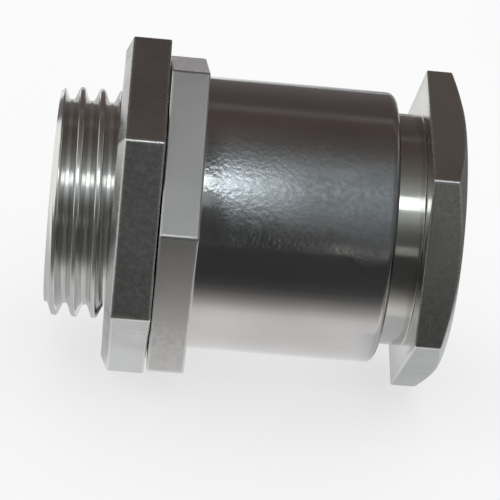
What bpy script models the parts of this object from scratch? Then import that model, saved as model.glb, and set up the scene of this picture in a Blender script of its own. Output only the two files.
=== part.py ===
"""Nickel-plated brass cable gland, lying on the corners of its hexagons.

Metres, +Z up. The gland's axis lies along world X, with the threaded entry at -X and the
compression nut at +X. Each piece is modelled upright on its own axis, where local +Z points
to the compression nut and local z = 0 is the collar face that the lock nut closes on. The
empty gland_axis lays them all down.

One turned and hexed body carries the rest: the lock nut on its entry thread, and, in the
bored barrel, a washer on the seat, the rubber sealing ring, a second washer and the shank
of the compression nut, which squeezes the ring on to the cable.
"""

import math

import bmesh
import bpy

# Entry spigot with its parallel pipe thread, size 1/2.
THREAD_RADIUS = 0.01048
THREAD_PITCH = 0.001814
THREAD_DEPTH = 0.00116
THREAD_FLAT = 0.00026
THREAD_RELIEF = 0.0012
THREAD_LEAD = 0.0006
THREAD_SINK = 0.0001
THREAD_TURN = math.radians(135)
SPIGOT_LENGTH = 0.00975
SPIGOT_WALL = 0.00157

# Hexagonal collar of the body, 27 mm across flats.
COLLAR_STAND_OUT = 0.001
COLLAR_THICKNESS = 0.00335
COLLAR_TURN = math.radians(15)

# Barrel: a turned cup that holds the seal, 25 mm across.
BARREL_STAND_OUT = 0.00202
BARREL_LENGTH = 0.01725
BARREL_WALL = 0.00153
BARREL_ROUNDING = 0.0008
SEAT_HEIGHT = 0.0038

# Lock nut on the entry thread, with the collar's width across flats.
LOCK_NUT_THICKNESS = 0.0039
LOCK_NUT_BEVEL_HEIGHT = 0.00065
LOCK_NUT_BEVEL_DEPTH = 0.0012
LOCK_NUT_TURN = math.radians(-15)

# Compression nut: a thin hexagon, 26 mm across flats, with a bell mouth for the cable and a
# shank in the barrel.
NUT_STAND_OUT = 0.0005
NUT_THICKNESS = 0.0033
NUT_CHAMFER_INSET = 0.0005
NUT_CHAMFER_ANGLE = math.radians(22)
NUT_SHANK_WALL = 0.00367
NUT_BELL_RADIUS = 0.0022
NUT_SHANK_LENGTH = 0.0073
NUT_EXPOSED_NECK = 0.0025
NUT_TURN = math.radians(-11)

# Seal: two washers with the rubber ring between them.
WASHER_THICKNESS = 0.0012
WASHER_WIDTH = 0.00367
SEAL_WIDTH = 0.00467
SEAL_ROUNDING = 0.0009

# Clearances and edge breaks.
RUNNING_GAP = 0.0003
SEAT_GAP = 0.0003
EDGE_BREAK = 0.0003
COLLAR_EDGE_BREAK = 0.00015

# Facets.
ROUND_STEPS = 72
THREAD_STEPS = 48
ARC_STEPS = 5
SEAL_ARC_STEPS = 3
SHARP_ANGLE = math.radians(30)

# Sizes that follow from those above. The thread's size sets the barrel's, and the flats of the
# collar and of the compression nut stand a little proud of the barrel.
THREAD_CORE_RADIUS = THREAD_RADIUS - THREAD_DEPTH
SPIGOT_BORE_RADIUS = THREAD_CORE_RADIUS - SPIGOT_WALL
BARREL_RADIUS = THREAD_RADIUS + BARREL_STAND_OUT
COLLAR_ACROSS_FLATS = 2 * (BARREL_RADIUS + COLLAR_STAND_OUT)
LOCK_NUT_ACROSS_FLATS = COLLAR_ACROSS_FLATS
NUT_ACROSS_FLATS = 2 * (BARREL_RADIUS + NUT_STAND_OUT)
CHAMBER_RADIUS = BARREL_RADIUS - BARREL_WALL
SHANK_RADIUS = CHAMBER_RADIUS - RUNNING_GAP
NUT_BORE_RADIUS = SHANK_RADIUS - NUT_SHANK_WALL
SEAL_OUTER_RADIUS = CHAMBER_RADIUS - RUNNING_GAP
BARREL_TOP = COLLAR_THICKNESS + BARREL_LENGTH
NUT_SHOULDER = BARREL_TOP + NUT_EXPOSED_NECK
NUT_TOP = NUT_SHOULDER + NUT_THICKNESS
SHANK_END = NUT_SHOULDER - NUT_SHANK_LENGTH
LOCK_NUT_BOTTOM = -SEAT_GAP - LOCK_NUT_THICKNESS
INNER_WASHER_BOTTOM = SEAT_HEIGHT + SEAT_GAP
OUTER_WASHER_BOTTOM = SHANK_END - SEAT_GAP - WASHER_THICKNESS
SEAL_BOTTOM = INNER_WASHER_BOTTOM + WASHER_THICKNESS + SEAT_GAP
SEAL_TOP = OUTER_WASHER_BOTTOM - SEAT_GAP


def corner_radius(across_flats):
    """Distance from a hexagon's centre to its corners."""
    return across_flats / 2 / math.cos(math.radians(30))


def axis_height():
    """Height of the axis at which the lowest hexagon corner just meets the ground."""
    return max(
        corner_radius(COLLAR_ACROSS_FLATS) * math.cos(COLLAR_TURN),
        corner_radius(LOCK_NUT_ACROSS_FLATS) * math.cos(LOCK_NUT_TURN),
        corner_radius(NUT_ACROSS_FLATS) * math.cos(NUT_TURN),
    )


def clear_scene():
    for obj in list(bpy.data.objects):
        bpy.data.objects.remove(obj)


def new_collection(name):
    collection = bpy.data.collections.new(name)
    bpy.context.scene.collection.children.link(collection)
    return collection


def principled(name, colour, metallic, roughness):
    material = bpy.data.materials.new(name)
    material.use_nodes = True
    shader = material.node_tree.nodes["Principled BSDF"]
    shader.inputs["Base Color"].default_value = (*colour, 1)
    shader.inputs["Metallic"].default_value = metallic
    shader.inputs["Roughness"].default_value = roughness
    return material


def arc(centre, radius, start, end, steps=ARC_STEPS):
    """Points (radius, height) of an arc, from one angle in degrees to another."""
    points = []
    for step in range(steps + 1):
        angle = math.radians(start + (end - start) * step / steps)
        points.append(
            (centre[0] + radius * math.cos(angle), centre[1] + radius * math.sin(angle))
        )
    return points


def new_object(name, mesh, collection):
    obj = bpy.data.objects.new(name, mesh)
    collection.objects.link(obj)
    return obj


def turned(name, outline, collection, closed=False, steps=ROUND_STEPS):
    """A solid of revolution. The outline holds (radius, height) pairs, down its outer side."""
    mesh = bpy.data.meshes.new(name)
    edges = [(i, i + 1) for i in range(len(outline) - 1)]
    if closed:
        edges.append((len(outline) - 1, 0))
    mesh.from_pydata([(radius, 0, height) for radius, height in outline], edges, [])
    obj = new_object(name, mesh, collection)
    screw = obj.modifiers.new("turn", "SCREW")
    screw.axis = "Z"
    screw.steps = steps
    screw.render_steps = steps
    screw.use_merge_vertices = True
    screw.merge_threshold = 0.00001
    return obj


def hexagon(name, across_flats, bottom, height, turn, collection):
    """A hexagonal prism that stands on the plane z = bottom, with a corner at angle turn."""
    mesh = bpy.data.meshes.new(name)
    shape = bmesh.new()
    radius = corner_radius(across_flats)
    bmesh.ops.create_cone(
        shape, cap_ends=True, segments=6, radius1=radius, radius2=radius, depth=height
    )
    shape.to_mesh(mesh)
    shape.free()
    obj = new_object(name, mesh, collection)
    obj.location.z = bottom + height / 2
    # create_cone puts a corner on the Y axis, a quarter turn from X.
    obj.rotation_euler.z = turn - math.radians(90)
    return obj


def boolean(obj, operation, tool):
    """Adds, cuts or keeps what the tool covers. The tool stays as a wire guide."""
    modifier = obj.modifiers.new(tool.name, "BOOLEAN")
    modifier.operation = operation
    modifier.object = tool
    modifier.solver = "EXACT"
    tool.hide_render = True
    tool.display_type = "WIRE"


def settle(obj, material):
    """Turns the modelled shape into the object's own mesh, with smooth round faces."""
    graph = bpy.context.evaluated_depsgraph_get()
    mesh = bpy.data.meshes.new_from_object(obj.evaluated_get(graph))
    obj.modifiers.clear()
    obj.data = mesh
    mesh.name = obj.name
    mesh.shade_smooth()
    mesh.set_sharp_from_angle(angle=SHARP_ANGLE)
    mesh.materials.clear()
    mesh.materials.append(material)


def thread_ridge(collection):
    """The entry thread: one helical ridge, cut back to a cone at the spigot's end."""
    start = -SPIGOT_LENGTH - THREAD_PITCH
    half_root = (THREAD_PITCH - THREAD_FLAT) / 2
    half_crest = THREAD_FLAT / 2
    flank = (half_root - half_crest) / THREAD_DEPTH
    base_radius = THREAD_CORE_RADIUS - THREAD_SINK
    half_base = half_root + THREAD_SINK * flank
    section = [
        (base_radius, half_base),
        (THREAD_RADIUS, half_crest),
        (THREAD_RADIUS, -half_crest),
        (base_radius, -half_base),
    ]
    mesh = bpy.data.meshes.new("thread_section")
    count = len(section)
    mesh.from_pydata(
        [(radius, 0, start + height) for radius, height in section],
        [(i, (i + 1) % count) for i in range(count)],
        [],
    )
    helix = new_object("thread_section", mesh, collection)
    screw = helix.modifiers.new("wind", "SCREW")
    screw.axis = "Z"
    screw.screw_offset = THREAD_PITCH
    screw.iterations = math.ceil(SPIGOT_LENGTH / THREAD_PITCH) + 2
    screw.steps = THREAD_STEPS
    screw.render_steps = THREAD_STEPS

    graph = bpy.context.evaluated_depsgraph_get()
    wound = bpy.data.meshes.new_from_object(helix.evaluated_get(graph))
    bpy.data.objects.remove(helix)
    shape = bmesh.new()
    shape.from_mesh(wound)
    open_edges = [edge for edge in shape.edges if edge.is_boundary]
    bmesh.ops.holes_fill(shape, edges=open_edges, sides=count)
    bmesh.ops.recalc_face_normals(shape, faces=shape.faces)
    shape.to_mesh(wound)
    shape.free()
    ridge = new_object("thread_ridge", wound, collection)

    outside = THREAD_RADIUS + THREAD_DEPTH
    tip = THREAD_RADIUS - THREAD_LEAD
    end = -SPIGOT_LENGTH + EDGE_BREAK / 2
    limit = turned(
        "thread_limit",
        [
            (0, -THREAD_RELIEF),
            (outside, -THREAD_RELIEF),
            (outside, end + outside - tip),
            (tip, end),
            (0, end),
        ],
        collection,
    )
    boolean(ridge, "INTERSECT", limit)
    ridge.rotation_euler.z = THREAD_TURN
    return ridge


def gland_body(parts, tools, material):
    """Spigot, collar and barrel in one piece, bored through with a seat for the seal."""
    inside_collar = COLLAR_THICKNESS / 2
    rounding_centre = (BARREL_RADIUS - BARREL_ROUNDING, BARREL_TOP - BARREL_ROUNDING)
    outline = [(0, BARREL_TOP)]
    outline += arc(rounding_centre, BARREL_ROUNDING, 90, 0)
    outline += [
        (BARREL_RADIUS, inside_collar),
        (THREAD_CORE_RADIUS, inside_collar),
        (THREAD_CORE_RADIUS, -SPIGOT_LENGTH),
        (0, -SPIGOT_LENGTH),
    ]
    body = turned("gland_body", outline, parts)

    collar = hexagon(
        "collar", COLLAR_ACROSS_FLATS, 0, COLLAR_THICKNESS, COLLAR_TURN, tools
    )
    bevel = collar.modifiers.new("edges", "BEVEL")
    bevel.width = COLLAR_EDGE_BREAK
    bevel.segments = 1
    boolean(body, "UNION", collar)
    boolean(body, "UNION", thread_ridge(tools))

    past_top = BARREL_TOP + BARREL_ROUNDING
    past_end = -SPIGOT_LENGTH - BARREL_ROUNDING
    bore = turned(
        "body_bore",
        [
            (0, past_top),
            (CHAMBER_RADIUS + EDGE_BREAK + BARREL_ROUNDING, past_top),
            (CHAMBER_RADIUS, BARREL_TOP - EDGE_BREAK),
            (CHAMBER_RADIUS, SEAT_HEIGHT),
            (SPIGOT_BORE_RADIUS, SEAT_HEIGHT),
            (SPIGOT_BORE_RADIUS, -SPIGOT_LENGTH + EDGE_BREAK),
            (SPIGOT_BORE_RADIUS + EDGE_BREAK + BARREL_ROUNDING, past_end),
            (0, past_end),
        ],
        tools,
    )
    boolean(body, "DIFFERENCE", bore)
    settle(body, material)


def lock_nut(parts, tools, material):
    """A hexagon whose outer face has a bevel all round, bored to clear the entry thread."""
    corner = corner_radius(LOCK_NUT_ACROSS_FLATS)
    face_corner = corner_radius(LOCK_NUT_ACROSS_FLATS - 2 * LOCK_NUT_BEVEL_DEPTH)
    nut = turned(
        "lock_nut",
        [
            (0, -SEAT_GAP),
            (corner, -SEAT_GAP),
            (corner, LOCK_NUT_BOTTOM + LOCK_NUT_BEVEL_HEIGHT),
            (face_corner, LOCK_NUT_BOTTOM),
            (0, LOCK_NUT_BOTTOM),
        ],
        parts,
        steps=6,
    )
    nut.rotation_euler.z = LOCK_NUT_TURN

    bore_radius = THREAD_RADIUS + RUNNING_GAP
    mouth_radius = bore_radius + 2 * EDGE_BREAK
    bore = turned(
        "lock_nut_bore",
        [
            (0, -SEAT_GAP + EDGE_BREAK),
            (mouth_radius, -SEAT_GAP + EDGE_BREAK),
            (bore_radius, -SEAT_GAP - EDGE_BREAK),
            (bore_radius, LOCK_NUT_BOTTOM + EDGE_BREAK),
            (mouth_radius, LOCK_NUT_BOTTOM - EDGE_BREAK),
            (0, LOCK_NUT_BOTTOM - EDGE_BREAK),
        ],
        tools,
    )
    boolean(nut, "DIFFERENCE", bore)
    settle(nut, material)


def washer(name, bottom, parts, material):
    """A flat ring that drops into the barrel, with its edges broken."""
    top = bottom + WASHER_THICKNESS
    outer = SEAL_OUTER_RADIUS
    inner = outer - WASHER_WIDTH
    ring = turned(
        name,
        [
            (outer - EDGE_BREAK, top),
            (outer, top - EDGE_BREAK),
            (outer, bottom + EDGE_BREAK),
            (outer - EDGE_BREAK, bottom),
            (inner, bottom),
            (inner, top),
        ],
        parts,
        closed=True,
    )
    settle(ring, material)


def sealing_ring(parts, material):
    """A rubber ring that fills the chamber between the washers, round at its edges."""
    outer = SEAL_OUTER_RADIUS
    inner = outer - SEAL_WIDTH
    radius = SEAL_ROUNDING
    corners = [
        ((outer - radius, SEAL_TOP - radius), 90),
        ((outer - radius, SEAL_BOTTOM + radius), 0),
        ((inner + radius, SEAL_BOTTOM + radius), -90),
        ((inner + radius, SEAL_TOP - radius), -180),
    ]
    outline = []
    for centre, start in corners:
        outline += arc(centre, radius, start, start - 90, SEAL_ARC_STEPS)
    ring = turned("sealing_ring", outline, parts, closed=True)
    settle(ring, material)


def compression_nut(parts, tools, material):
    """A thin hexagon with a coned rim, a plain neck and shank, and a belled bore."""
    nut = hexagon(
        "compression_nut",
        NUT_ACROSS_FLATS,
        NUT_SHOULDER,
        NUT_THICKNESS,
        NUT_TURN,
        parts,
    )
    outside = corner_radius(NUT_ACROSS_FLATS) + EDGE_BREAK
    face_radius = NUT_ACROSS_FLATS / 2 - NUT_CHAMFER_INSET
    rim_drop = (outside - face_radius) * math.tan(NUT_CHAMFER_ANGLE)
    above = EDGE_BREAK
    inward = above / math.tan(NUT_CHAMFER_ANGLE)
    rim = turned(
        "nut_rim",
        [
            (0, NUT_TOP + above),
            (face_radius - inward, NUT_TOP + above),
            (outside, NUT_TOP - rim_drop),
            (outside, NUT_SHOULDER - EDGE_BREAK),
            (0, NUT_SHOULDER - EDGE_BREAK),
        ],
        tools,
    )
    boolean(nut, "INTERSECT", rim)

    shank = turned(
        "nut_shank",
        [
            (0, NUT_SHOULDER + NUT_THICKNESS / 2),
            (SHANK_RADIUS, NUT_SHOULDER + NUT_THICKNESS / 2),
            (SHANK_RADIUS, SHANK_END + EDGE_BREAK),
            (SHANK_RADIUS - EDGE_BREAK, SHANK_END),
            (0, SHANK_END),
        ],
        tools,
    )
    boolean(nut, "UNION", shank)

    bell_centre = (NUT_BORE_RADIUS + NUT_BELL_RADIUS, NUT_TOP - NUT_BELL_RADIUS)
    outline = [
        (0, NUT_TOP + EDGE_BREAK),
        (bell_centre[0], NUT_TOP + EDGE_BREAK),
    ]
    outline += arc(bell_centre, NUT_BELL_RADIUS, 90, 180)
    outline += [
        (NUT_BORE_RADIUS, SHANK_END + EDGE_BREAK),
        (NUT_BORE_RADIUS + 2 * EDGE_BREAK, SHANK_END - EDGE_BREAK),
        (0, SHANK_END - EDGE_BREAK),
    ]
    boolean(nut, "DIFFERENCE", turned("nut_bore", outline, tools))
    settle(nut, material)


def lay_down(parts, tools):
    """Parents all that was made to an empty that turns the shared axis to along X."""
    axis = new_object("gland_axis", None, parts)
    middle = (NUT_TOP - SPIGOT_LENGTH) / 2
    axis.location = (-middle, 0, axis_height())
    axis.rotation_euler.y = math.radians(90)
    for obj in [*parts.objects, *tools.objects]:
        if obj is not axis:
            obj.parent = axis


def main():
    clear_scene()
    parts = new_collection("cable_gland")
    tools = new_collection("cable_gland_tools")

    satin_nickel = principled("satin_nickel", (0.60, 0.60, 0.57), 1, 0.28)
    dark_nickel = principled("dark_nickel", (0.33, 0.34, 0.32), 1, 0.2)
    dull_nickel = principled("dull_nickel", (0.44, 0.43, 0.39), 1, 0.3)
    bare_brass = principled("bare_brass", (0.70, 0.52, 0.26), 1, 0.35)
    black_rubber = principled("black_rubber", (0.03, 0.03, 0.03), 0, 0.7)

    gland_body(parts, tools, satin_nickel)
    lock_nut(parts, tools, dark_nickel)
    washer("inner_washer", INNER_WASHER_BOTTOM, parts, bare_brass)
    sealing_ring(parts, black_rubber)
    washer("outer_washer", OUTER_WASHER_BOTTOM, parts, bare_brass)
    compression_nut(parts, tools, dull_nickel)
    lay_down(parts, tools)


main()
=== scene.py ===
# %% [markdown]
# # A nickel-plated cable gland, lying on its side
#
# The real object is turned and milled from brass bar and then nickel plated: a threaded
# spigot with a hexagonal lock nut, a hexagonal collar, a round barrel, and a thin hexagonal
# compression nut on a plain neck. Washers and a rubber ring sit inside, where the cable goes.
#
# Nearly all of its look comes from what bright metal reflects, so this lesson has three
# parts: clean shapes with softly broken edges, a plating that is a little uneven, and a
# studio whose light and dark parts lie where the photograph's do.

import math

import bpy
from mathutils import Matrix, Vector


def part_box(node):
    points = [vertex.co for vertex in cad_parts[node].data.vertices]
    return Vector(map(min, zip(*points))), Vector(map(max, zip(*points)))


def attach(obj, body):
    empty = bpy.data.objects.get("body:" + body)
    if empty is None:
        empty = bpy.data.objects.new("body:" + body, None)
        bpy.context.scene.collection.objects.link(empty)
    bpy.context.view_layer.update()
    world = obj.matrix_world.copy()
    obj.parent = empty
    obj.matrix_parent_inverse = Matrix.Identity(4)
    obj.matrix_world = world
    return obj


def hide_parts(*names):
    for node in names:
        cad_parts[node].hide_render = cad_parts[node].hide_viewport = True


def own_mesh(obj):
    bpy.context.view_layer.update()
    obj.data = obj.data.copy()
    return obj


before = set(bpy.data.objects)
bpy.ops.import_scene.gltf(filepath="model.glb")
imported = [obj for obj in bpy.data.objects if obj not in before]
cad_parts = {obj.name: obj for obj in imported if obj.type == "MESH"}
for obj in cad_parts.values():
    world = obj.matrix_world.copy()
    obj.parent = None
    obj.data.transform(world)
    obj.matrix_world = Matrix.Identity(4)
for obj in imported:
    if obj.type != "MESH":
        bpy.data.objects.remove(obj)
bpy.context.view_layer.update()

# %% [markdown]
# ## The camera
#
# The photograph looks down on the gland from its side, 24 degrees above level, from about
# 20 cm. Its axis runs down to the right in the picture by 5 degrees, although the gland
# lies level, so the camera is rolled. It could be placed by eye, but here its place, its
# aim and its roll come from the ellipse of the barrel's end and two points of the axis.

# %% Camera
CAMERA_PLACE = Vector((-0.01143, -0.18144, 0.09434))
CAMERA_AIM = Vector((0.000413, 0, 0.011693))
CAMERA_ROLL = math.radians(6.4)
CAMERA_LENS = 155.2

toward = (CAMERA_AIM - CAMERA_PLACE).normalized()
right = toward.cross(Vector((0, 0, 1))).normalized()
right = Matrix.Rotation(-CAMERA_ROLL, 3, toward) @ right
upward = right.cross(toward)
camera = bpy.data.objects.new("camera", bpy.data.cameras.new("camera"))
camera.data.lens = CAMERA_LENS
camera.data.clip_start = 0.01
turned = Matrix((right, upward, -toward)).transposed().to_4x4()
camera.matrix_world = Matrix.Translation(CAMERA_PLACE) @ turned
bpy.context.scene.collection.objects.link(camera)
bpy.context.scene.camera = camera
print("camera", round(1000 * (CAMERA_AIM - CAMERA_PLACE).length), "mm from what it looks at")

# %% [markdown]
# ## Where things are along the axis
#
# A turned part is easiest to think of on its own axis. Each station below is a distance
# along it, in millimetres, from the face of the collar that the lock nut closes on, and
# each radius is a distance from it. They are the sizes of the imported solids, so the pieces
# made here take the places of the plain ones. Two helpers put such places into the frame,
# which is in metres. The angle starts straight down and turns towards the back.

# %% Stations and the shared frame
MM = 0.001
AXIS_START = -8.325
AXIS_HEIGHT = 15.0573
SPIGOT_END = -9.75
LOCK_NUT_FACES = (-4.2, -0.12)
COLLAR_FACES = (0.0, 3.35)
SEAT = 3.8
BARREL_END = 20.6
NUT_FACES = (23.1, 26.4)
SHANK_END = 15.8


def x_at(station):
    """A station's place along the frame's X axis, in metres."""
    return (station + AXIS_START) * MM


def place(station, radius, angle):
    """The point of the frame, in metres, at a station, a radius and an angle of the gland."""
    return Vector((
        x_at(station),
        radius * math.sin(angle) * MM,
        (AXIS_HEIGHT - radius * math.cos(angle)) * MM,
    ))


packed_face, face_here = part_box("compression_nut")[1].x, x_at(NUT_FACES[1])
print("nut face at", round(1000 * packed_face, 3), "mm, here", round(1000 * face_here, 3))

# %% [markdown]
# ## One outline, swept round the axis
#
# Every piece of this gland is a closed outline swept round one axis, apart from its
# hexagons. A boolean of a hexagon and a lathe shape would give long thin faces that shade
# badly on bright metal. So the sweep itself knows about hexagons: a radius in the outline
# may be a plain number, or a rule that gives the radius at each angle. The mesh is then a
# neat grid of quads that closes on itself, through the bore and back.
#
# Machined edges are never quite sharp. Each corner of the outline is replaced by a small
# curve, with one more point on each side of it that keeps the flat faces flat. Where a
# corner stands out, the points of its curve also get an attribute named edge, so that the
# plating can be brighter there: partly where hands and spanners rub it, partly a painted
# highlight along the edges. The hexagon's sides get one named milled, because a milled face
# is more matt than a turned one.

# %% Softened outlines
CURVE_STEPS = 3
EDGE_KEEP = 1.5


def softened(corners):
    """Points (station, radius, edge) of a closed outline whose corners, each a station,
    a radius and how far it is softened, are rounded off."""
    points = []
    count = len(corners)
    for i in range(count):
        here = Vector(corners[i][:2])
        soft = corners[i][2]
        if soft == 0:
            points.append((here.x, here.y, 0))
            continue
        before = Vector(corners[i - 1][:2]) - here
        after = Vector(corners[(i + 1) % count][:2]) - here
        stands_out = 1 if before.x * after.y > before.y * after.x else 0
        first, last = before.normalized() * soft, after.normalized() * soft
        points.append((*(here + first * EDGE_KEEP), 0))
        for step in range(CURVE_STEPS + 1):
            share = step / CURVE_STEPS
            middle = here + first * (1 - share) ** 2 + last * share ** 2
            points.append((middle.x, middle.y, stands_out))
        points.append((*(here + last * EDGE_KEEP), 0))
    return points


one_soft_corner = softened([(0, 0, 0.1), (1, 0, 0), (0, 1, 0)])
print("a softened corner takes", len(one_soft_corner) - 2, "points")

# %% Hexagons as rules
HEX_SOFT = 0.36
COLLAR_FLATS = 27
LOCK_NUT_FLATS = 27
LOCK_NUT_FACE_FLATS = 24.6
NUT_FLATS = 26


def hexagon_rule(across_flats):
    """A rule that gives a hexagon's radius at an angle from one of its corners."""
    flat = across_flats / 2
    inner = flat - HEX_SOFT
    centre = inner / math.cos(math.radians(30))

    def radius(angle):
        off_flat = (angle % math.radians(60)) - math.radians(30)
        if abs(flat * math.tan(off_flat)) <= inner * math.tan(math.radians(30)):
            return flat / math.cos(off_flat)
        off_corner = math.radians(30) - abs(off_flat)
        reach = HEX_SOFT ** 2 - (centre * math.sin(off_corner)) ** 2
        return centre * math.cos(off_corner) + math.sqrt(max(reach, 0))

    return radius


COLLAR_HEX = hexagon_rule(COLLAR_FLATS)
LOCK_NUT_HEX = hexagon_rule(LOCK_NUT_FLATS)
LOCK_NUT_FACE_HEX = hexagon_rule(LOCK_NUT_FACE_FLATS)
NUT_HEX = hexagon_rule(NUT_FLATS)
print("corner radii:", round(COLLAR_HEX(0), 2), round(NUT_HEX(0), 2), "mm")

# %% Columns of the sweep
COLUMNS = 240
CORNER_BENDS = (-30, -20, -10, 0, 10, 20, 30)
COLUMN_GAP = math.radians(0.45)


def sweep_angles(turn=None, across_flats=COLLAR_FLATS):
    """Angles of the sweep's columns: even ones and, for a hexagon whose first corner is at
    the angle turn, close ones over each softened corner."""
    even = [math.tau * i / COLUMNS for i in range(COLUMNS)]
    if turn is None:
        return even
    centre = (across_flats / 2 - HEX_SOFT) / math.cos(math.radians(30))
    offsets = []
    for bend in map(math.radians, CORNER_BENDS):
        across, out = HEX_SOFT * math.sin(bend), centre + HEX_SOFT * math.cos(bend)
        offsets.append(math.atan2(across, out))
    offsets = [offsets[0] * EDGE_KEEP, *offsets, offsets[-1] * EDGE_KEEP]
    close = [turn + math.radians(60) * k + offset for k in range(6) for offset in offsets]
    close = [angle % math.tau for angle in close]
    kept = []
    for angle in even:
        gaps = [abs((angle - other + math.pi) % math.tau - math.pi) for other in close]
        if min(gaps) > COLUMN_GAP:
            kept.append(angle)
    return sorted(kept + close)


print("columns round a hexagon:", len(sweep_angles(0)))

# %% The sweep
CORNER_SPREAD = math.radians(0.7)
CORNER_REACH = 1.14
MILLED_DEPTH = 0.3


def swept(name, outline, turn=None, across_flats=COLLAR_FLATS):
    """A closed mesh from an outline that is worked out anew at each angle."""
    flat = across_flats / 2
    angles = sweep_angles(turn, across_flats)
    points, edges, milled = [], [], []
    for angle in angles:
        from_corner = angle - (turn or 0)
        near = abs((from_corner + math.radians(30)) % math.radians(60) - math.radians(30))
        for station, radius, edge in softened(outline(from_corner)):
            points.append(place(station, radius, angle))
            # A hexagon's corners count as edges too, brighter partly from rubbing and partly as a
            # painted highlight line.
            on_corner = turn is not None and near < CORNER_SPREAD and radius > CORNER_REACH * flat
            edges.append(1 if edge or on_corner else 0)
            milled.append(1 if turn is not None and radius > flat - MILLED_DEPTH else 0)
    rows = len(points) // len(angles)
    faces = []
    for column in range(len(angles)):
        beside = (column + 1) % len(angles)
        for row in range(rows):
            above = (row + 1) % rows
            faces.append((
                column * rows + row, column * rows + above,
                beside * rows + above, beside * rows + row,
            ))
    mesh = bpy.data.meshes.new(name)
    mesh.from_pydata(points, [], faces)
    mesh.attributes.new("edge", "FLOAT", "POINT").data.foreach_set("value", edges)
    mesh.attributes.new("milled", "FLOAT", "POINT").data.foreach_set("value", milled)
    return mesh


print("a collar's corner is over", round(CORNER_REACH * COLLAR_FLATS / 2, 1), "mm out")

# %% Finishing a piece
CRISP_ANGLE = math.radians(35)


def inside_volume(mesh):
    """Volume within a closed mesh in cubic centimetres, above nought if its faces point out."""
    total = 0
    mesh.calc_loop_triangles()
    for triangle in mesh.loop_triangles:
        a, b, c = (mesh.vertices[i].co for i in triangle.vertices)
        total += a.dot(b.cross(c)) / 6
    return total * 1e6


def finished(name, mesh, material):
    """An object of a finished mesh: smooth, but crisp where faces meet at a real angle."""
    if inside_volume(mesh) < 0:
        mesh.flip_normals()
    mesh.shade_smooth()
    mesh.set_sharp_from_angle(angle=CRISP_ANGLE)
    mesh.materials.clear()
    mesh.materials.append(material)
    piece = bpy.data.objects.new(name, mesh)
    bpy.context.scene.collection.objects.link(piece)
    print(f"{name}: {len(mesh.polygons)} faces, {inside_volume(mesh):.3f} cubic cm")
    return piece


print("faces stay crisp where they meet at over", round(math.degrees(CRISP_ANGLE)), "degrees")

# %% [markdown]
# ## Short ways to build a material
#
# A material is a tree of nodes. Pictures could be painted for this gland instead, but noise
# that reads Object coordinates stays sharp from near by, needs no unwrapping, and doesn't
# slide when a piece moves. A few helpers make the common nodes. Each takes plain values or
# the sockets of other nodes, so that a finish reads like a sum.

# %% Node helpers


def feed(tree, socket, value):
    """Gives a socket a plain value, or links it to another socket."""
    if isinstance(value, bpy.types.NodeSocket):
        tree.links.new(value, socket)
    else:
        socket.default_value = value


def add_node(tree, kind, **inputs):
    """A node with its inputs set by name. A value is a number, a colour or another socket."""
    node = tree.nodes.new(kind)
    for name, value in inputs.items():
        feed(tree, node.inputs[name.replace("_", " ")], value)
    return node


def blended(tree, share, low_colour, high_colour):
    """A mix of two colours, each a plain colour or a socket."""
    mix = tree.nodes.new("ShaderNodeMix")
    mix.data_type = "RGBA"
    tree.links.new(share, mix.inputs["Factor"])
    for socket, colour in ((mix.inputs[6], low_colour), (mix.inputs[7], high_colour)):
        feed(tree, socket, (*colour, 1) if isinstance(colour, tuple) else colour)
    return mix.outputs[2]


def ranged(tree, value, from_low, from_high, to_low, to_high, kind="LINEAR"):
    """A value read on one scale and given back on another, held within it."""
    node = add_node(
        tree, "ShaderNodeMapRange",
        Value=value, From_Min=from_low, From_Max=from_high, To_Min=to_low, To_Max=to_high,
    )
    node.interpolation_type = kind
    return node.outputs["Result"]


def calculated(tree, operation, *values):
    """The result of a sum whose values are numbers or sockets."""
    node = tree.nodes.new("ShaderNodeMath")
    node.operation = operation
    for socket, value in zip(node.inputs, values):
        feed(tree, socket, value)
    return node.outputs[0]


print("node helpers ready")

# %% Noise, relief and a new material


def noise(tree, where, scale, detail=3, stretch=(1, 1, 1)):
    """Soft noise over a piece, at a scale in blobs per metre, stretched along the axes."""
    mapping = add_node(tree, "ShaderNodeMapping", Vector=where, Scale=stretch)
    texture = add_node(
        tree, "ShaderNodeTexNoise", Vector=mapping.outputs["Vector"], Scale=scale, Detail=detail
    )
    return texture.outputs["Fac"]


def new_material(name, metallic):
    """A new material, with its tree, its shader and the piece's Object coordinates."""
    material = bpy.data.materials.new(name)
    material.use_nodes = True
    tree = material.node_tree
    shader = tree.nodes["Principled BSDF"]
    shader.inputs["Metallic"].default_value = metallic
    return material, tree, shader, tree.nodes.new("ShaderNodeTexCoord").outputs["Object"]


def surface(tree, shader, colour, rough, relief, strength, depth):
    """Gives a shader its colour, its roughness, and a relief with a depth in metres."""
    tree.links.new(colour, shader.inputs["Base Color"])
    tree.links.new(rough, shader.inputs["Roughness"])
    bump = add_node(tree, "ShaderNodeBump", Height=relief, Strength=strength, Distance=depth)
    tree.links.new(bump.outputs["Normal"], shader.inputs["Normal"])


print("material helpers ready")

# %% [markdown]
# ## Where hands have rubbed the barrel, with a painted sheen
#
# Along its upper front the barrel has a band that hands have rubbed dull and finely pitted.
# It spreads the lamp's reflection into the wide haze of the photograph. On the same band the
# colour is a painted sheen: a little blue where the lamp's reflection falls, and dimmer
# towards the nut. The band is found by rule: how many degrees up from the front a point is,
# and how far along. Soft steps make its rims, and noise makes them ragged. Past the collar
# it soon reaches lower, and near the barrel's end lower again. Its angles are in degrees,
# and its places along X are in metres, as Object coordinates are.

# %% Place of the rubbed band
BAND_TOP = (44, 68)
BAND_BOTTOMS = (37, 17, 13)
BAND_BOTTOM_RIM = (-8, 8)
BAND_WIDENS_FROM = (-4.5 * MM, -2 * MM)
BAND_DROPS_FROM = (5.5 * MM, 9.5 * MM)
BAND_RAGGED = 4
BAND_START_RIM = 0.3 * MM


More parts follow.
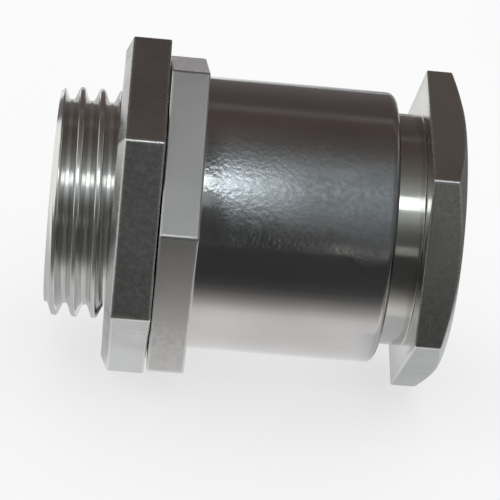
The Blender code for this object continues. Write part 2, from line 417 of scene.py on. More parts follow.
def angle_up(tree, apart):
    """Degrees up from the front, seen from the gland's axis."""
    height = calculated(tree, "SUBTRACT", apart["Z"], AXIS_HEIGHT * MM)
    front = calculated(tree, "MULTIPLY", apart["Y"], -1)
    angle = calculated(tree, "ARCTAN2", height, front)
    return calculated(tree, "MULTIPLY", angle, math.degrees(1))


def rubbed_and_sheen_band(tree, where, apart):
    """How far the plate is rubbed dull and carries the painted sheen, from nought to one."""
    ragged = ranged(tree, noise(tree, where, 280, 2), 0.3, 0.7, -BAND_RAGGED, BAND_RAGGED)
    angle = calculated(tree, "ADD", angle_up(tree, apart), ragged)
    at_start, past_start, at_end = BAND_BOTTOMS
    bottom = ranged(tree, apart["X"], *BAND_WIDENS_FROM, at_start, past_start)
    drop = ranged(tree, apart["X"], *BAND_DROPS_FROM, 0, past_start - at_end)
    up = calculated(tree, "ADD", calculated(tree, "SUBTRACT", angle, bottom), drop)
    above = ranged(tree, up, *BAND_BOTTOM_RIM, 0, 1)
    below = ranged(tree, angle, *BAND_TOP, 1, 0)
    start = x_at(COLLAR_FACES[1])
    on_barrel = ranged(tree, apart["X"], start, start + BAND_START_RIM, 0, 1)
    return calculated(tree, "MULTIPLY", calculated(tree, "MULTIPLY", above, below), on_barrel)


print("the rubbed band starts at", round(1000 * x_at(COLLAR_FACES[1]), 3), "mm")

# %% [markdown]
# ## The plating
#
# Nickel plating is a metal shader with a slightly warm grey. Three things keep it from
# looking like plastic chrome: its roughness comes and goes in soft patches where the plate
# is a little etched, it has very fine marks from the lathe, and its edges are brighter,
# partly where they are rubbed and partly as a painted highlight. Milled sides are more matt.
# The body alone has the rubbed band, which carries a painted sheen and turns into painted
# shade by the collar, and a pale, matt thread. One helper builds the shader, and each of
# the three platings is that helper with other values.

# %% Marks on the body
THREAD_END = (x_at(-1.2), x_at(-0.8))
THREAD_COLOUR = (0.76, 0.755, 0.735)
THREAD_ROUGH = 0.175
# Painted shade on the band where it meets the collar.
SHADE_BY_COLLAR_SPAN = (-4.6 * MM, -2.9 * MM)
PAINTED_SHADE_BY_COLLAR = (0.19, 0.205, 0.21)
BAND_CHANGES = (-4 * MM, 5 * MM)
# The band's painted sheen: bluish where the lamp's reflection falls, darker towards the nut.
BAND_PAINTED_SHEEN = ((0.58, 0.61, 0.64), (0.32, 0.335, 0.34))
BAND_ROUGH = (0.26, 0.5)
BAND_PITS = (9, 3)
GRAIN_RANGE = (0.35, 0.65)


def body_marks(tree, where, grain, colour, rough, relief):
    """A plate's colour, roughness and relief after the body's thread and band are added."""
    apart = add_node(tree, "ShaderNodeSeparateXYZ", Vector=where).outputs
    on_thread = ranged(tree, apart["X"], *THREAD_END, 1, 0)
    colour = blended(tree, on_thread, colour, THREAD_COLOUR)
    thread = calculated(tree, "MULTIPLY", on_thread, THREAD_ROUGH)
    # The band's mask carries the rubbed roughness and pits, and the painted sheen.
    band = rubbed_and_sheen_band(tree, where, apart)
    # Painted sheen on the band, bluish on the left and dimmer towards the nut.
    sheen_and_shade_colour = blended(tree, ranged(tree, apart["X"], *BAND_CHANGES, 0, 1), *BAND_PAINTED_SHEEN)
    # Painted shade on the band beside the collar.
    shade_by_collar = ranged(tree, apart["X"], *SHADE_BY_COLLAR_SPAN, 0, 1)
    sheen_and_shade_colour = blended(tree, shade_by_collar, PAINTED_SHADE_BY_COLLAR, sheen_and_shade_colour)
    colour = blended(tree, band, colour, sheen_and_shade_colour)
    dull = ranged(tree, apart["X"], *BAND_CHANGES, *BAND_ROUGH)
    dull = calculated(tree, "MULTIPLY", dull, ranged(tree, grain, *GRAIN_RANGE, 0.85, 1.1))
    dull = calculated(tree, "MULTIPLY", band, dull)
    rough = calculated(tree, "MAXIMUM", calculated(tree, "MAXIMUM", rough, thread), dull)
    depth = ranged(tree, apart["X"], *BAND_CHANGES, *BAND_PITS)
    pits = calculated(tree, "MULTIPLY", band, noise(tree, where, 2600, 2))
    relief = calculated(tree, "MULTIPLY_ADD", pits, depth, relief)
    return colour, rough, relief


print("the thread's finish ends at", [round(1000 * end, 3) for end in THREAD_END], "mm")

# %% Nickel plate
# Colour of the edges: rubbed brighter, and partly a painted highlight.
EDGE_WEAR_AND_GLINT = (0.68, 0.68, 0.66)
LATHE_STRETCH = (0.12, 2.4, 2.4)
LATHE_SHARE = 0.35
SIDE_MOTTLE = (0.82, 1.18)


def attribute(tree, name):
    """The value of one of the sweep's attributes."""
    node = tree.nodes.new("ShaderNodeAttribute")
    node.attribute_name = name
    return node.outputs["Fac"]


def nickel(name, colour, stain, smooth, etched, sides, body=False):
    """Nickel plate: its colour and the colour of its stains, its least and most
    roughness, the roughness of milled sides, and whether it has the body's marks."""
    material, tree, shader, where = new_material(name, metallic=1)
    grain = noise(tree, where, 2300, 3)
    tint = ranged(tree, noise(tree, where, 110, 4), 0.42, 0.62, 0, 1)
    plate = blended(tree, tint, colour, stain)
    # Edges brighter: partly rubbed, partly a painted highlight.
    plate = blended(tree, attribute(tree, "edge"), plate, EDGE_WEAR_AND_GLINT)
    rough = ranged(tree, noise(tree, where, 210, 5), 0.38, 0.66, smooth, etched)
    mottled = ranged(tree, grain, *GRAIN_RANGE, *(share * sides for share in SIDE_MOTTLE))
    milled = calculated(tree, "MULTIPLY", attribute(tree, "milled"), mottled)
    rough = calculated(tree, "MAXIMUM", rough, milled)
    lathe_marks = noise(tree, where, 900, 3, LATHE_STRETCH)
    waves = noise(tree, where, 420, 4)
    relief = calculated(tree, "MULTIPLY_ADD", lathe_marks, LATHE_SHARE, waves)
    if body:
        plate, rough, relief = body_marks(tree, where, grain, plate, rough, relief)
    surface(tree, shader, plate, rough, relief, strength=0.12, depth=0.06 * MM)
    return material


BODY_PLATE = nickel(
    "satin_nickel", colour=(0.575, 0.56, 0.555), stain=(0.525, 0.51, 0.505),
    smooth=0.10, etched=0.155, sides=0.38, body=True,
)
LOCK_PLATE = nickel(
    "dark_nickel", colour=(0.53, 0.54, 0.53), stain=(0.45, 0.45, 0.44),
    smooth=0.16, etched=0.26, sides=0.27,
)
NUT_PLATE = nickel(
    "dull_nickel", colour=(0.58, 0.57, 0.53), stain=(0.50, 0.49, 0.46),
    smooth=0.11, etched=0.20, sides=0.24,
)
print("plating:", [plate.name for plate in (BODY_PLATE, LOCK_PLATE, NUT_PLATE)])

# %% [markdown]
# ## Brass and rubber for the inside
#
# The two washers are stamped from bare brass sheet and lie out of sight, so they are left
# unplated: a warmer, duller metal with fine drawn marks and brown tarnish in patches. The
# seal is moulded rubber, dark and matt, with a dusty bloom.

# %% Brass and rubber


def bare_brass():
    """Rolled brass sheet, tarnished in patches."""
    material, tree, shader, where = new_material("bare_brass", metallic=1)
    tarnish = ranged(tree, noise(tree, where, 260, 5), 0.42, 0.68, 0, 1)
    colour = blended(tree, tarnish, (0.72, 0.53, 0.26), (0.42, 0.27, 0.11))
    rough = ranged(tree, tarnish, 0, 1, 0.26, 0.5)
    drawn_marks = noise(tree, where, 1500, 3, (1, 0.1, 1))
    surface(tree, shader, colour, rough, drawn_marks, strength=0.2, depth=0.04 * MM)
    return material


def black_rubber():
    """Moulded rubber with a faint bloom."""
    material, tree, shader, where = new_material("black_rubber", metallic=0)
    bloom = ranged(tree, noise(tree, where, 420, 5), 0.45, 0.75, 0, 1)
    colour = blended(tree, bloom, (0.018, 0.018, 0.018), (0.06, 0.058, 0.055))
    rough = ranged(tree, bloom, 0, 1, 0.5, 0.8)
    pores = noise(tree, where, 3000, 2)
    surface(tree, shader, colour, rough, pores, strength=0.3, depth=0.05 * MM)
    return material


BRASS = bare_brass()
RUBBER = black_rubber()
print("inside:", BRASS.name, RUBBER.name)

# %% [markdown]
# ## The body: spigot, collar and barrel in one
#
# One bar is turned to a thin spigot and a wide barrel, and its own hexagon is left between
# them as the collar. Its outline runs along the outside from the entry to the mouth of the
# barrel, then back through the chamber, over the seat and out through the spigot's bore.
# The spigot starts plain, at the thread's root, with enough rows for the thread to be cut.

# %% Outline of the body
THREAD_ROOT = 9.32
THREAD_CREST = 10.48
THREAD_PITCH = 1.814
THREAD_FADE = (-1.9, -1.2)
THREAD_ROWS = 162
LEAD_RADIUS = 9.95
BARREL_RADIUS = 12.5
BARREL_ROUNDING = 0.8
ROUNDING_STEPS = 8
CHAMBER_RADIUS = 10.97
SPIGOT_BORE = 7.75
CHAMFER = 0.3
ENTRY_EDGE = (0.03, 0.1)
BARREL_ROWS = (5, 11)
COLLAR_TURN = math.radians(15)


def body_outline(from_corner):
    """The body's outline at an angle from a corner of the collar."""
    hexagon = COLLAR_HEX(from_corner)
    edge_length, edge_depth = ENTRY_EDGE
    thread_start, thread_stop = SPIGOT_END + edge_length, THREAD_FADE[1]
    spacing = (thread_stop - thread_start) / THREAD_ROWS
    outline = [(SPIGOT_END, THREAD_ROOT - edge_depth, 0), (thread_start, THREAD_ROOT, 0)]
    outline += [(thread_start + spacing * (i + 1), THREAD_ROOT, 0) for i in range(THREAD_ROWS)]
    outline += [
        (COLLAR_FACES[0], THREAD_ROOT, 0.08),
        (COLLAR_FACES[0], hexagon, 0.16),
        (COLLAR_FACES[1], hexagon, 0.16),
        (COLLAR_FACES[1], BARREL_RADIUS, 0.12),
    ]
    outline += [(COLLAR_FACES[1] + row, BARREL_RADIUS, 0) for row in BARREL_ROWS]
    for step in range(ROUNDING_STEPS + 1):
        angle = math.radians(90 * step / ROUNDING_STEPS)
        outline.append((
            BARREL_END - BARREL_ROUNDING * (1 - math.sin(angle)),
            BARREL_RADIUS - BARREL_ROUNDING * (1 - math.cos(angle)),
            0,
        ))
    outline += [
        (BARREL_END, CHAMBER_RADIUS + CHAMFER, 0.1),
        (BARREL_END - CHAMFER, CHAMBER_RADIUS, 0.1),
        (SEAT, CHAMBER_RADIUS, 0.15),
        (SEAT, SPIGOT_BORE, 0.15),
        (SPIGOT_END + CHAMFER, SPIGOT_BORE, 0.12),
        (SPIGOT_END, SPIGOT_BORE + CHAMFER, 0.08),
    ]
    return outline


blank = swept("gland_body", body_outline, COLLAR_TURN)
print("blank:", len(blank.polygons), "faces,", round(abs(inside_volume(blank)), 3), "cubic cm")

# %% [markdown]
# ## The entry thread, by Geometry Nodes
#
# A thread is a rule, not a shape: how far a point stands out depends only on its angle
# and on how far along it is. A lathe cuts it into the spigot turn by turn, and a node
# tree can do the same. It finds each point's angle and station, adds them to find where
# between two crests the point lies, and moves it out from the axis by the thread's own
# profile. A smooth step gives the rounded crests and roots of a pipe thread. The cut fades
# out before the collar, and at the entry it is held inside a cone, the lead that finds the
# hole. A helix swept along a curve would leave two loose ends, and this way has none.

# %% Inputs of the thread tree


def thread_inputs(tree):
    """The sockets of a tree's named inputs, which start at this thread's sizes in metres."""
    sizes = {
        "Pitch": THREAD_PITCH * MM,
        "Root radius": THREAD_ROOT * MM,
        "Crest radius": THREAD_CREST * MM,
        "End of spigot": x_at(SPIGOT_END),
        "Lead radius": LEAD_RADIUS * MM,
        "Start of fade": x_at(THREAD_FADE[0]),
        "End of fade": x_at(THREAD_FADE[1]),
        "Height of axis": AXIS_HEIGHT * MM,
        "Turned by": 0.0,
    }
    new_socket = tree.interface.new_socket
    new_socket("Geometry", in_out="INPUT", socket_type="NodeSocketGeometry")
    for name, size in sizes.items():
        socket = new_socket(name, in_out="INPUT", socket_type="NodeSocketFloat")
        socket.default_value = size
    new_socket("Plating", in_out="INPUT", socket_type="NodeSocketMaterial")
    new_socket("Geometry", in_out="OUTPUT", socket_type="NodeSocketGeometry")
    return tree.nodes.new("NodeGroupInput").outputs


print("the thread stands", round(THREAD_CREST - THREAD_ROOT, 2), "mm out of the spigot")

# %% Where the tree moves each point
THREAD_FLANK = (0.15, 0.86)
LEAD_BLEND = 0.2
SKIN_DEPTH = 0.02


def thread_shift(tree, given):
    """How far each point moves, and whether it is one of the spigot's skin."""
    def sum_of(operation, *values):
        return calculated(tree, operation, *values)

    at = tree.nodes.new("GeometryNodeInputPosition")
    apart = add_node(tree, "ShaderNodeSeparateXYZ", Vector=at.outputs[0]).outputs
    down = sum_of("SUBTRACT", given["Height of axis"], apart["Z"])
    squares = sum_of("ADD", sum_of("POWER", down, 2), sum_of("POWER", apart["Y"], 2))
    radius = sum_of("SQRT", squares)
    turns = sum_of("DIVIDE", sum_of("ARCTAN2", apart["Y"], down), math.tau)
    from_end = sum_of("SUBTRACT", apart["X"], given["End of spigot"])
    along = sum_of("DIVIDE", from_end, given["Pitch"])
    phase = sum_of("FRACT", sum_of("ADD", sum_of("SUBTRACT", along, turns), given["Turned by"]))
    height = sum_of("ABSOLUTE", sum_of("SUBTRACT", sum_of("MULTIPLY", phase, 2), 1))
    profile = ranged(tree, height, *THREAD_FLANK, 0, 1, "SMOOTHSTEP")
    fade_range = given["Start of fade"], given["End of fade"]
    fade = sum_of("SUBTRACT", 1, ranged(tree, apart["X"], *fade_range, 0, 1, "SMOOTHSTEP"))
    depth = sum_of("SUBTRACT", given["Crest radius"], given["Root radius"])
    ridge = sum_of("MULTIPLY", sum_of("MULTIPLY", profile, fade), depth)
    threaded = sum_of("ADD", given["Root radius"], ridge)
    cone = sum_of("ADD", given["Lead radius"], from_end)
    wanted = sum_of("SMOOTH_MIN", threaded, cone, LEAD_BLEND * MM)
    outward = sum_of("DIVIDE", sum_of("SUBTRACT", wanted, radius), radius)
    move = add_node(
        tree, "ShaderNodeCombineXYZ",
        Y=sum_of("MULTIPLY", apart["Y"], outward),
        Z=sum_of("MULTIPLY", down, sum_of("MULTIPLY", outward, -1)),
    )
    skin = tree.nodes.new("FunctionNodeBooleanMath")
    skin_radius = sum_of("SUBTRACT", given["Root radius"], SKIN_DEPTH * MM)
    tree.links.new(sum_of("GREATER_THAN", radius, skin_radius), skin.inputs[0])
    tree.links.new(sum_of("LESS_THAN", apart["X"], given["End of fade"]), skin.inputs[1])
    return move.outputs[0], skin.outputs[0]


print("a crest takes", round(THREAD_PITCH * (1 - THREAD_FLANK[1]), 2), "mm of each pitch")

# %% The tree that cuts the thread


def thread_tree():
    """Geometry nodes that cut a right-hand thread into the skin of a spigot along X."""
    tree = bpy.data.node_groups.new("cut_thread", "GeometryNodeTree")
    given = thread_inputs(tree)
    move, on_skin = thread_shift(tree, given)
    shifted = add_node(
        tree, "GeometryNodeSetPosition",
        Geometry=given["Geometry"], Selection=on_skin, Offset=move,
    )
    real = add_node(tree, "GeometryNodeRealizeInstances", Geometry=shifted.outputs["Geometry"])
    plated = add_node(
        tree, "GeometryNodeSetMaterial",
        Geometry=real.outputs["Geometry"], Material=given["Plating"],
    )
    result = tree.nodes.new("NodeGroupOutput")
    tree.links.new(plated.outputs["Geometry"], result.inputs[0])
    return tree


THREAD_TREE = thread_tree()
inputs = [item.name for item in THREAD_TREE.interface.items_tree if item.in_out == "INPUT"]
print("inputs of the tree:", inputs)

# %% Cut the thread into the blank
THREAD_TURNED = 135 / 360


def threaded(mesh, name, plating):
    """A plain mesh of a blank after the tree has cut its thread."""
    lathe = bpy.data.objects.new(name + "_blank", mesh)
    bpy.context.scene.collection.objects.link(lathe)
    modifier = lathe.modifiers.new("thread", "NODES")
    modifier.node_group = THREAD_TREE
    for item in THREAD_TREE.interface.items_tree:
        if item.name == "Plating":
            modifier[item.identifier] = plating
        if item.name == "Turned by":
            modifier[item.identifier] = THREAD_TURNED
    graph = bpy.context.evaluated_depsgraph_get()
    cut = bpy.data.meshes.new_from_object(lathe.evaluated_get(graph))
    bpy.data.objects.remove(lathe)
    return cut


gland_body = finished("body_piece", threaded(blank, "gland_body", BODY_PLATE), BODY_PLATE)
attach(gland_body, "gland_body")
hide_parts("gland_body")

# %% [markdown]
# ## The lock nut
#
# The lock nut is milled from hexagon bar. Its outer face has a bevel that follows the six
# sides, not a cone as on most nuts, so the outline uses two hexagon rules, one for the
# sides and a smaller one for the face. Its bore just clears the thread's crests.

# %% Lock nut
LOCK_NUT_TURN = math.radians(-15)
LOCK_NUT_BORE = 10.78
LOCK_NUT_BEVEL = 0.65


def lock_nut_outline(from_corner):
    """The lock nut's outline at an angle from one of its corners."""
    outer_face, inner_face = LOCK_NUT_FACES
    side, face = LOCK_NUT_HEX(from_corner), LOCK_NUT_FACE_HEX(from_corner)
    return [
        (outer_face, face, 0.1),
        (outer_face + LOCK_NUT_BEVEL, side, 0.12),
        (inner_face, side, 0.16),
        (inner_face, LOCK_NUT_BORE + CHAMFER, 0.08),
        (inner_face - CHAMFER, LOCK_NUT_BORE, 0.08),
        (outer_face + CHAMFER, LOCK_NUT_BORE, 0.08),
        (outer_face, LOCK_NUT_BORE + CHAMFER, 0.08),
    ]


lock_nut_mesh = swept("lock_nut", lock_nut_outline, LOCK_NUT_TURN, LOCK_NUT_FLATS)
lock_nut = finished("lock_nut_piece", lock_nut_mesh, LOCK_PLATE)
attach(lock_nut, "lock_nut")
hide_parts("lock_nut")

# %% [markdown]
# ## The compression nut
#
# This nut is turned from hexagon bar: a cone takes the corners off its outer rim, which
# leaves the curved line that every turned nut has on its flats. The rule is simple. Where
# the hexagon reaches further out, the cone has come further down. The bore opens in a
# bell, so that the cable bends over a smooth lip, and a plain shank goes into the barrel.

# %% Compression nut
NUT_TURN = math.radians(-11)
NUT_FACE_RADIUS = 12.5
NUT_CONE = math.radians(22)
SHANK_RADIUS = 10.67
NUT_BORE = 7.0
NECK_ROW = 0.6
BELL_RADIUS = 2.2
BELL_STEPS = 12


def nut_outline(from_corner):
    """The compression nut's outline at an angle from one of its corners."""
    side = NUT_HEX(from_corner)
    rim = NUT_FACES[1] - (side - NUT_FACE_RADIUS) * math.tan(NUT_CONE)
    outline = [
        (SHANK_END + CHAMFER, NUT_BORE, 0.1),
        (SHANK_END, NUT_BORE + CHAMFER, 0.08),
        (SHANK_END, SHANK_RADIUS - CHAMFER, 0.1),
        (SHANK_END + CHAMFER, SHANK_RADIUS, 0.1),
        (BARREL_END + NECK_ROW, SHANK_RADIUS, 0),
        (NUT_FACES[0], SHANK_RADIUS, 0.12),
        (NUT_FACES[0], side, 0.15),
        (rim, side, 0.13),
        (NUT_FACES[1], NUT_FACE_RADIUS, 0.1),
    ]
    for step in range(BELL_STEPS + 1):
        angle = math.radians(90 + 90 * step / BELL_STEPS)
        outline.append((
            NUT_FACES[1] - BELL_RADIUS * (1 - math.sin(angle)),
            NUT_BORE + BELL_RADIUS * (1 + math.cos(angle)),
            0,
        ))
    return outline


nut_mesh = swept("compression_nut", nut_outline, NUT_TURN, NUT_FLATS)
compression_nut = finished("compression_nut_piece", nut_mesh, NUT_PLATE)
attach(compression_nut, "compression_nut")
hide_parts("compression_nut")

# %% [markdown]
# ## The seal inside
#
# A stamped washer has one rolled edge and one sharper one, from the punch. The rubber ring
# between the two washers is moulded, so its edges are round and a thin line runs round
# the middle where the halves of the mould met. It shortens as the compression nut closes.

# %% Washers
WASHER_BORE = 7.0
WASHER_THICKNESS = 1.2
ROLLED, SHARP = 0.3, 0.08
SEAL_OUTER = 10.67


def washer_outline(bottom, rolled_side):
    """A rule for a stamped washer that starts at a station, with one side's edges rolled."""
    top = bottom + WASHER_THICKNESS
    low_soft, high_soft = (ROLLED, SHARP) if rolled_side == "low" else (SHARP, ROLLED)
    return lambda angle: [
        (bottom, SEAL_OUTER, low_soft),
        (top, SEAL_OUTER, high_soft),
        (top, WASHER_BORE, high_soft / 2),
        (bottom, WASHER_BORE, low_soft / 2),
    ]


for name, bottom, rolled_side, body in (
    ("inner_washer", 4.1, "high", "gland_body"), ("outer_washer", 14.3, "low", "thrust_washer")
):
    washer = finished(name + "_piece", swept(name, washer_outline(bottom, rolled_side)), BRASS)
    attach(washer, body)
    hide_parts(name)

# %% Sealing ring
SEAL_BORE = 6.0
SEAL_ENDS = (5.6, 14.0)
SEAL_ROUND = 0.8
SEAL_END_DROP = 0.02
MOULD_LINE_HALF = 0.12
MOULD_LINE_HEIGHT = 0.06


def seal_outline(angle):
    """The moulded ring, with its parting line."""
    bottom, top = SEAL_ENDS
    middle = (bottom + top) / 2
    return [
        (bottom, SEAL_OUTER - SEAL_END_DROP, SEAL_ROUND),
        (middle - MOULD_LINE_HALF, SEAL_OUTER - MOULD_LINE_HEIGHT, 0.05),
        (middle, SEAL_OUTER, 0.04),
        (middle + MOULD_LINE_HALF, SEAL_OUTER - MOULD_LINE_HEIGHT, 0.05),
        (top, SEAL_OUTER - SEAL_END_DROP, SEAL_ROUND),
        (top, SEAL_BORE, SEAL_ROUND),
        (bottom, SEAL_BORE, SEAL_ROUND),
    ]


sealing_ring = finished("sealing_ring_piece", swept("sealing_ring", seal_outline), RUBBER)
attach(sealing_ring, "gland_body")
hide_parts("sealing_ring")
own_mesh(sealing_ring)

# %% [markdown]
# ## Floor and world
#
# The photograph's background is white. The floor is a pale diffuse surface, and a little
# light of its own, seen only by the camera and in reflections, lifts it to white and still
# lets the soft shadow show. The world does the same: it is white to the camera and in the
# metal, and gives a plain level of light to everything else. The stage is much larger than
# the gland, so it is set out in metres.

# %% Floor
FLOOR_SHADE = 0.42
FLOOR_REACH = 4


def seen_directly(tree):
    """One where a ray comes from the camera, a mirror or a glass, and nought elsewhere."""
    path = tree.nodes.new("ShaderNodeLightPath").outputs
    mirrored = calculated(tree, "MAXIMUM", path["Is Camera Ray"], path["Is Glossy Ray"])
    return calculated(tree, "MAXIMUM", mirrored, path["Is Transmission Ray"])


def panel(name, corners, material, faces=None):
    """A stage panel from its corners in metres, flat unless it is given several faces."""
    mesh = bpy.data.meshes.new(name)
    mesh.from_pydata(corners, [], faces or [tuple(range(len(corners)))])
    mesh.materials.append(material)
    thing = bpy.data.objects.new(name, mesh)
    bpy.context.scene.collection.objects.link(thing)
    return thing


floor_paper = bpy.data.materials.new("floor_paper")
floor_paper.use_nodes = True
tree = floor_paper.node_tree
paper = tree.nodes["Principled BSDF"]
paper.inputs["Base Color"].default_value = (FLOOR_SHADE, FLOOR_SHADE, FLOOR_SHADE, 1)
paper.inputs["Roughness"].default_value = 0.9
paper.inputs["Specular IOR Level"].default_value = 0.1
paper.inputs["Emission Color"].default_value = (1, 1, 1, 1)
lift = ranged(tree, seen_directly(tree), 0, 1, 0, 1 - FLOOR_SHADE)
tree.links.new(lift, paper.inputs["Emission Strength"])
floor_corners = [
    (FLOOR_REACH * x, FLOOR_REACH * y, 0) for x, y in ((-1, -1), (1, -1), (1, 1), (-1, 1))
]
floor = panel("floor", floor_corners, floor_paper)
print("floor:", [round(size, 1) for size in floor.dimensions], "m")

# %% World
WORLD_LEVEL = 0.85

world = bpy.data.worlds.new("studio")
bpy.context.scene.world = world
world.use_nodes = True
tree = world.node_tree
background = tree.nodes["Background"]
background.inputs["Color"].default_value = (1, 1, 1, 1)
level = ranged(tree, seen_directly(tree), 0, 1, WORLD_LEVEL, 1)
tree.links.new(level, background.inputs["Strength"])
print("world:", world.name, "at a level of", WORLD_LEVEL)

# %% [markdown]
# ## The lamp
#
# Bright metal has no colour of its own to show, only its surroundings. In the photograph a
# soft lamp stands on the camera's side, about half way up. A long box of light in the same
# place gives the bright line along the metal and the soft shadow. A point lamp would give
# the metal only a spark.

# %% Lamp
LAMP_ELEVATION = math.radians(49)
LAMP_AWAY = 0.6
LAMP_SIDE = -0.02
LAMP_SIZE = (0.27, 0.12)
LAMP_RADIANCE = 2.3

lamp = bpy.data.lights.new("softbox", "AREA")
lamp.shape = "RECTANGLE"
lamp.size, lamp.size_y = LAMP_SIZE
lamp.energy = LAMP_RADIANCE * math.pi * LAMP_SIZE[0] * LAMP_SIZE[1]
lamp.color = (0.93, 0.98, 1)
softbox = bpy.data.objects.new("softbox", lamp)
softbox.location = (
    LAMP_SIDE,
    -LAMP_AWAY * math.cos(LAMP_ELEVATION),
    AXIS_HEIGHT * MM + LAMP_AWAY * math.sin(LAMP_ELEVATION),
)
softbox.rotation_euler.x = math.radians(90) - LAMP_ELEVATION
softbox.visible_camera = False
bpy.context.scene.collection.objects.link(softbox)
print("lamp of", round(lamp.energy, 2), "W")

# %% [markdown]
# ## Cards for the metal to reflect
#
# The barrel in the photograph reads like a map of the room round it: a white floor below
# that darkens in front, a dark screen low down, a long glow half way up, and a dark ceiling
# that reaches down behind. A studio makes such a map with cards, and so does this stage.
# The cards glow in plain greys and show only in reflections, so the floor, the shadow and
# the background know nothing of them. A card of one shade would give hard bands on the
# barrel. So one helper paints a card with shades that follow the angle round the gland or
# a distance over the floor.

# %% Paint for the cards


def millimetres_in_front(tree, apart):
    """How far in front of the gland's axis a point of the floor is."""
    return calculated(tree, "MULTIPLY", apart["Y"], -1 / MM)


def millimetres_along(tree, apart):
    """How far along the gland, from its middle towards the nut, a point of the floor is."""
    return calculated(tree, "MULTIPLY", apart["X"], 1 / MM)


def card_paint(name, shades, measure):
    """A glow for a card, from shades at readings of a measure, which is given the sockets
    of the three coordinates."""
    material = bpy.data.materials.new(name)
    material.use_nodes = True
    tree = material.node_tree
    tree.nodes.clear()
    where = tree.nodes.new("ShaderNodeTexCoord").outputs["Object"]
    apart = add_node(tree, "ShaderNodeSeparateXYZ", Vector=where).outputs
    first, last = shades[0][0], shades[-1][0]
    share = ranged(tree, measure(tree, apart), first, last, 0, 1)
    ramp = add_node(tree, "ShaderNodeValToRGB", Fac=share)
    stops = ramp.color_ramp.elements
    for reading, shade in shades[1:-1]:
        stops.new((reading - first) / (last - first)).color = (*shade, 1)
    stops[0].color = (*shades[0][1], 1)
    stops[-1].color = (*shades[-1][1], 1)
    glow = add_node(tree, "ShaderNodeEmission", Color=ramp.outputs["Color"])
    output = tree.nodes.new("ShaderNodeOutputMaterial")
    tree.links.new(glow.outputs["Emission"], output.inputs["Surface"])
    return material


def card(name, corners, shades, measure, faces=None):
    """A stage card that is painted by a measure and shows only in reflections."""
    thing = panel(name, corners, card_paint(name + "_paint", shades, measure), faces)
    thing.visible_camera = False
    thing.visible_diffuse = False
    thing.visible_shadow = False
    thing.visible_volume_scatter = False
    print(f"{name}: {len(thing.data.polygons)} faces, {len(shades)} shades")


print("card helpers ready")

# %% [markdown]
# ## The ceiling
#
# Half a tube of card, bent round the gland's axis, stands for the ceiling and for what is
# in front and behind. Its shades follow the angle up from the front. The brightest lies
# behind the lamp and gives the wide glow along the barrel, and the darkest hangs behind the
# gland, with one paler strip in it.

# %% Ceiling card
CARD_REACH = 0.8
CARD_STEPS = 40
CARD_BELOW = -1
CEILING_SHADES = [
    (-2, (0.13, 0.13, 0.125)),
    (11, (0.108, 0.108, 0.104)),
    (19, (0.125, 0.128, 0.125)),
    (27, (0.22, 0.23, 0.23)),
    (36, (0.42, 0.45, 0.46)),
    (49, (0.62, 0.66, 0.69)),
    (61, (0.39, 0.41, 0.42)),
    (70, (0.26, 0.262, 0.255)),
    (79, (0.17, 0.166, 0.16)),
    (90, (0.13, 0.12, 0.112)),
    (105, (0.108, 0.084, 0.079)),
    (118, (0.10, 0.077, 0.072)),
    (124, (0.165, 0.15, 0.143)),
    (130, (0.10, 0.079, 0.074)),
    (145, (0.11, 0.09, 0.085)),
    (179, (0.16, 0.15, 0.15)),
]


def card_arch(x):
    """Points of an arch over the gland, from in front to behind, at a place along X."""
    points = []
    for step in range(CARD_STEPS + 1):
        angle = math.radians(CARD_BELOW + 180 * step / CARD_STEPS)
        height = AXIS_HEIGHT * MM + CARD_REACH * math.sin(angle)
        points.append((x, -CARD_REACH * math.cos(angle), height))
    return points


rims = [point for pair in zip(card_arch(-CARD_REACH), card_arch(CARD_REACH)) for point in pair]
strips = [(i, i + 1, i + 3, i + 2) for i in range(0, 2 * CARD_STEPS, 2)]
card("ceiling_card", rims, CEILING_SHADES, angle_up, strips)

# %% [markdown]
# ## The floor that the metal sees
#
# From below, the metal shows the white paper that it lies on, brighter under the barrel
# than under the spigot, the collar and the nut, where the card paints their shadow. Further
# in front of the gland the photograph's room turns dark, within four centimetres, so a card
# lies there whose shades fall off with the distance. By the spigot a paler one takes its
# place. All three lie a hair above the floor.

# %% Floor cards
FLOOR_CARD_EDGE = -0.0135
SPIGOT_SIDE = -0.011
UNDER_START = -0.06
CARD_LIFT = 0.0002
# Painted shadow under the spigot and under the nut, seen only in reflections.
SHADOW_UNDER_SPIGOT = (0.55, 0.56, 0.57)
SHADOW_UNDER_NUT = (0.62, 0.64, 0.67)
SHADED = (0.16, 0.16, 0.165)
FLOOR_SHADES = [
    (13.7, (0.9, 0.9, 0.9)),
    (16.7, (0.82, 0.82, 0.81)),
    (18.7, (0.62, 0.62, 0.61)),
    (20.7, (0.42, 0.42, 0.41)),
    (23.7, (0.24, 0.24, 0.235)),
    (26.7, (0.13, 0.13, 0.128)),
    (31, (0.07, 0.07, 0.07)),
    (40, (0.05, 0.051, 0.052)),
]
PALER_SHADES = [
    (13.7, (0.55, 0.56, 0.57)),
    (16.7, (0.47, 0.475, 0.475)),
    (18.7, (0.33, 0.33, 0.325)),
    (20.7, (0.23, 0.23, 0.225)),
    (23.7, (0.16, 0.16, 0.155)),
    (26.7, (0.135, 0.135, 0.13)),
    (31, (0.115, 0.115, 0.11)),
]
UNDER_SHADES = [
    (-60, (1, 1, 1)),
    (-35, SHADOW_UNDER_SPIGOT),
    (-13.5, SHADOW_UNDER_SPIGOT),
    (-12.5, (0.88, 0.885, 0.89)),
    (-9, (0.88, 0.885, 0.89)),
    (-7.5, (0.77, 0.77, 0.77)),
    (-5.5, (0.77, 0.77, 0.77)),
    (-4.5, (0.88, 0.885, 0.885)),
    (11.5, (0.88, 0.885, 0.885)),
    (14, SHADOW_UNDER_NUT),
    (31, SHADOW_UNDER_NUT),
    (43, SHADED),
]


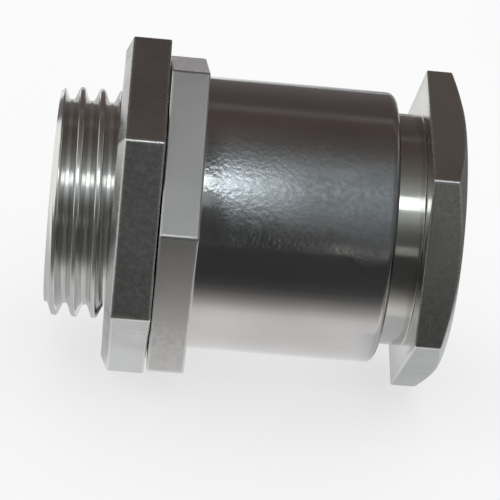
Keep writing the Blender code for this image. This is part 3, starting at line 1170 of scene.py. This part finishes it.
def on_floor(left, right, near, far):
    """Corners of a card that lies on the floor, from its edges along X and along Y."""
    return [(x, y, CARD_LIFT) for x, y in ((left, near), (left, far), (right, far), (right, near))]


front = (FLOOR_CARD_EDGE, -CARD_REACH)
card("floor_card", on_floor(SPIGOT_SIDE, CARD_REACH, *front), FLOOR_SHADES, millimetres_in_front)
card(
    "spigot_floor_card", on_floor(-CARD_REACH, SPIGOT_SIDE, *front),
    PALER_SHADES, millimetres_in_front,
)
card(
    "under_card", on_floor(UNDER_START, CARD_REACH, CARD_REACH, FLOOR_CARD_EDGE),
    UNDER_SHADES, millimetres_along,
)

# %% [markdown]
# ## Screen, sill and wall
#
# Three more cards finish the map. A dark screen in front makes the barrel dark low down.
# Its right edge leans, so it leaves the nut alone. Beside it a paler sill shows in the
# front flat of the nut, and a wall closes the tube on the nut's side. The corners of screen
# and sill are a place along X and a number of degrees up from the gland, because that is
# how a reflection in the barrel is read.

# %% Screen, sill and wall
SCREEN_AWAY = 0.7
SCREEN_LEFT = -0.004
SCREEN_OUTLINE = [
    (SCREEN_LEFT, 40), (SCREEN_LEFT, -1), (0.066, -1), (0.056, 11), (0.038, 19), (0.030, 40),
]
SCREEN_SHADES = [
    (0, (0.04, 0.045, 0.047)),
    (14, (0.028, 0.034, 0.036)),
    (40, (0.05, 0.06, 0.062)),
]
SILL_OUTLINE = [
    (0.089, 2), (0.099, 2), (0.099, -1), (CARD_REACH, -1), (CARD_REACH, 7), (0.089, 7),
]
SILL_SHADE = (0.36, 0.36, 0.35)


def in_front(outline):
    """Corners of an upright card in front of the gland."""
    return [
        (x, -SCREEN_AWAY, AXIS_HEIGHT * MM + SCREEN_AWAY * math.tan(math.radians(up)))
        for x, up in outline
    ]


def one_shade(shade):
    """The shades of a card that is the same all over."""
    return [(0, shade), (1, shade)]


card("screen_card", in_front(SCREEN_OUTLINE), SCREEN_SHADES, angle_up)
card("sill_card", in_front(SILL_OUTLINE), one_shade(SILL_SHADE), angle_up)
card("wall_card", card_arch(CARD_REACH), one_shade(SHADED), angle_up)

# %% Finish
bpy.context.scene.view_settings.view_transform = "Standard"
